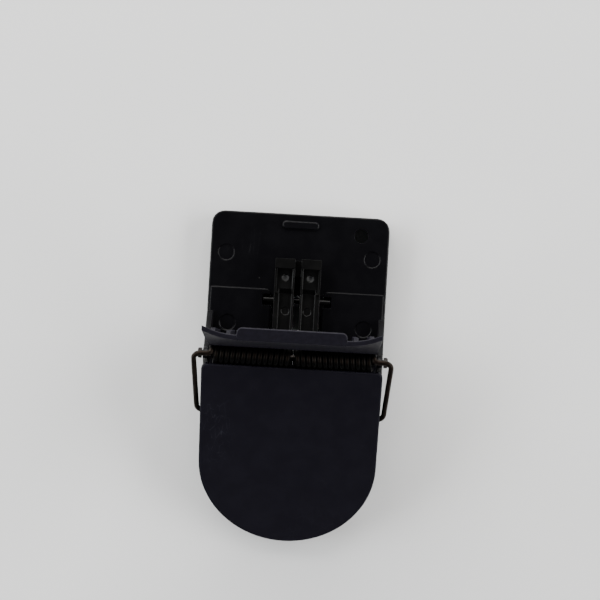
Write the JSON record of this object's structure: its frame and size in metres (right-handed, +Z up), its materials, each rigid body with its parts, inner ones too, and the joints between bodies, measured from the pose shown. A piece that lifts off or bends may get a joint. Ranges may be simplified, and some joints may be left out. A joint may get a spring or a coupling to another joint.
{
  "type": "snap rat trap",
  "caption": "Plastic snap trap shown set: tray base with side ears, upright jaw with a D-shaped press pad, exposed torsion spring and a forked bait rocker.",
  "frame": {"origin": "middle of the trap's bounding box at ground level", "axes": "+X to the right as seen from behind the press pad, +Y towards the mouth, +Z up"},
  "size_m": [0.0762, 0.1288, 0.0912],
  "materials": {
    "base_plastic": "fine satin moulding in black",
    "jaw_plastic": "satin moulding in blue-black with fine scratches",
    "rocker_plastic": "matt moulding in black with pale worn edges",
    "spring_steel": "oil-blackened drawn wire, brown-black",
    "rod_steel": "bright drawn rod",
    "cap_steel": "blackened pressed steel"
  },
  "bodies": {
    "tray": {"base": "base_plastic", "hinge_rod": "rod_steel", "rod_cap_left": "cap_steel", "rod_cap_right": "cap_steel", "torsion_spring": "spring_steel"},
    "jaw": {"jaw_lever": "jaw_plastic"},
    "rocker": {"trigger_rocker": "rocker_plastic"}
  },
  "joints": [
    {"name": "jaw_hinge", "type": "hinge", "parent": "tray", "child": "jaw", "pos_m": [0, 0.00864, 0.034], "axis": [-1, 0, 0], "range_deg": [0, 104], "deforming": ["torsion_spring"]},
    {"name": "rocker_pivot", "type": "hinge", "parent": "tray", "child": "rocker", "pos_m": [0, 0.03034, 0.0069], "axis": [-1, 0, 0], "range_deg": [0, 6]}
  ]
}
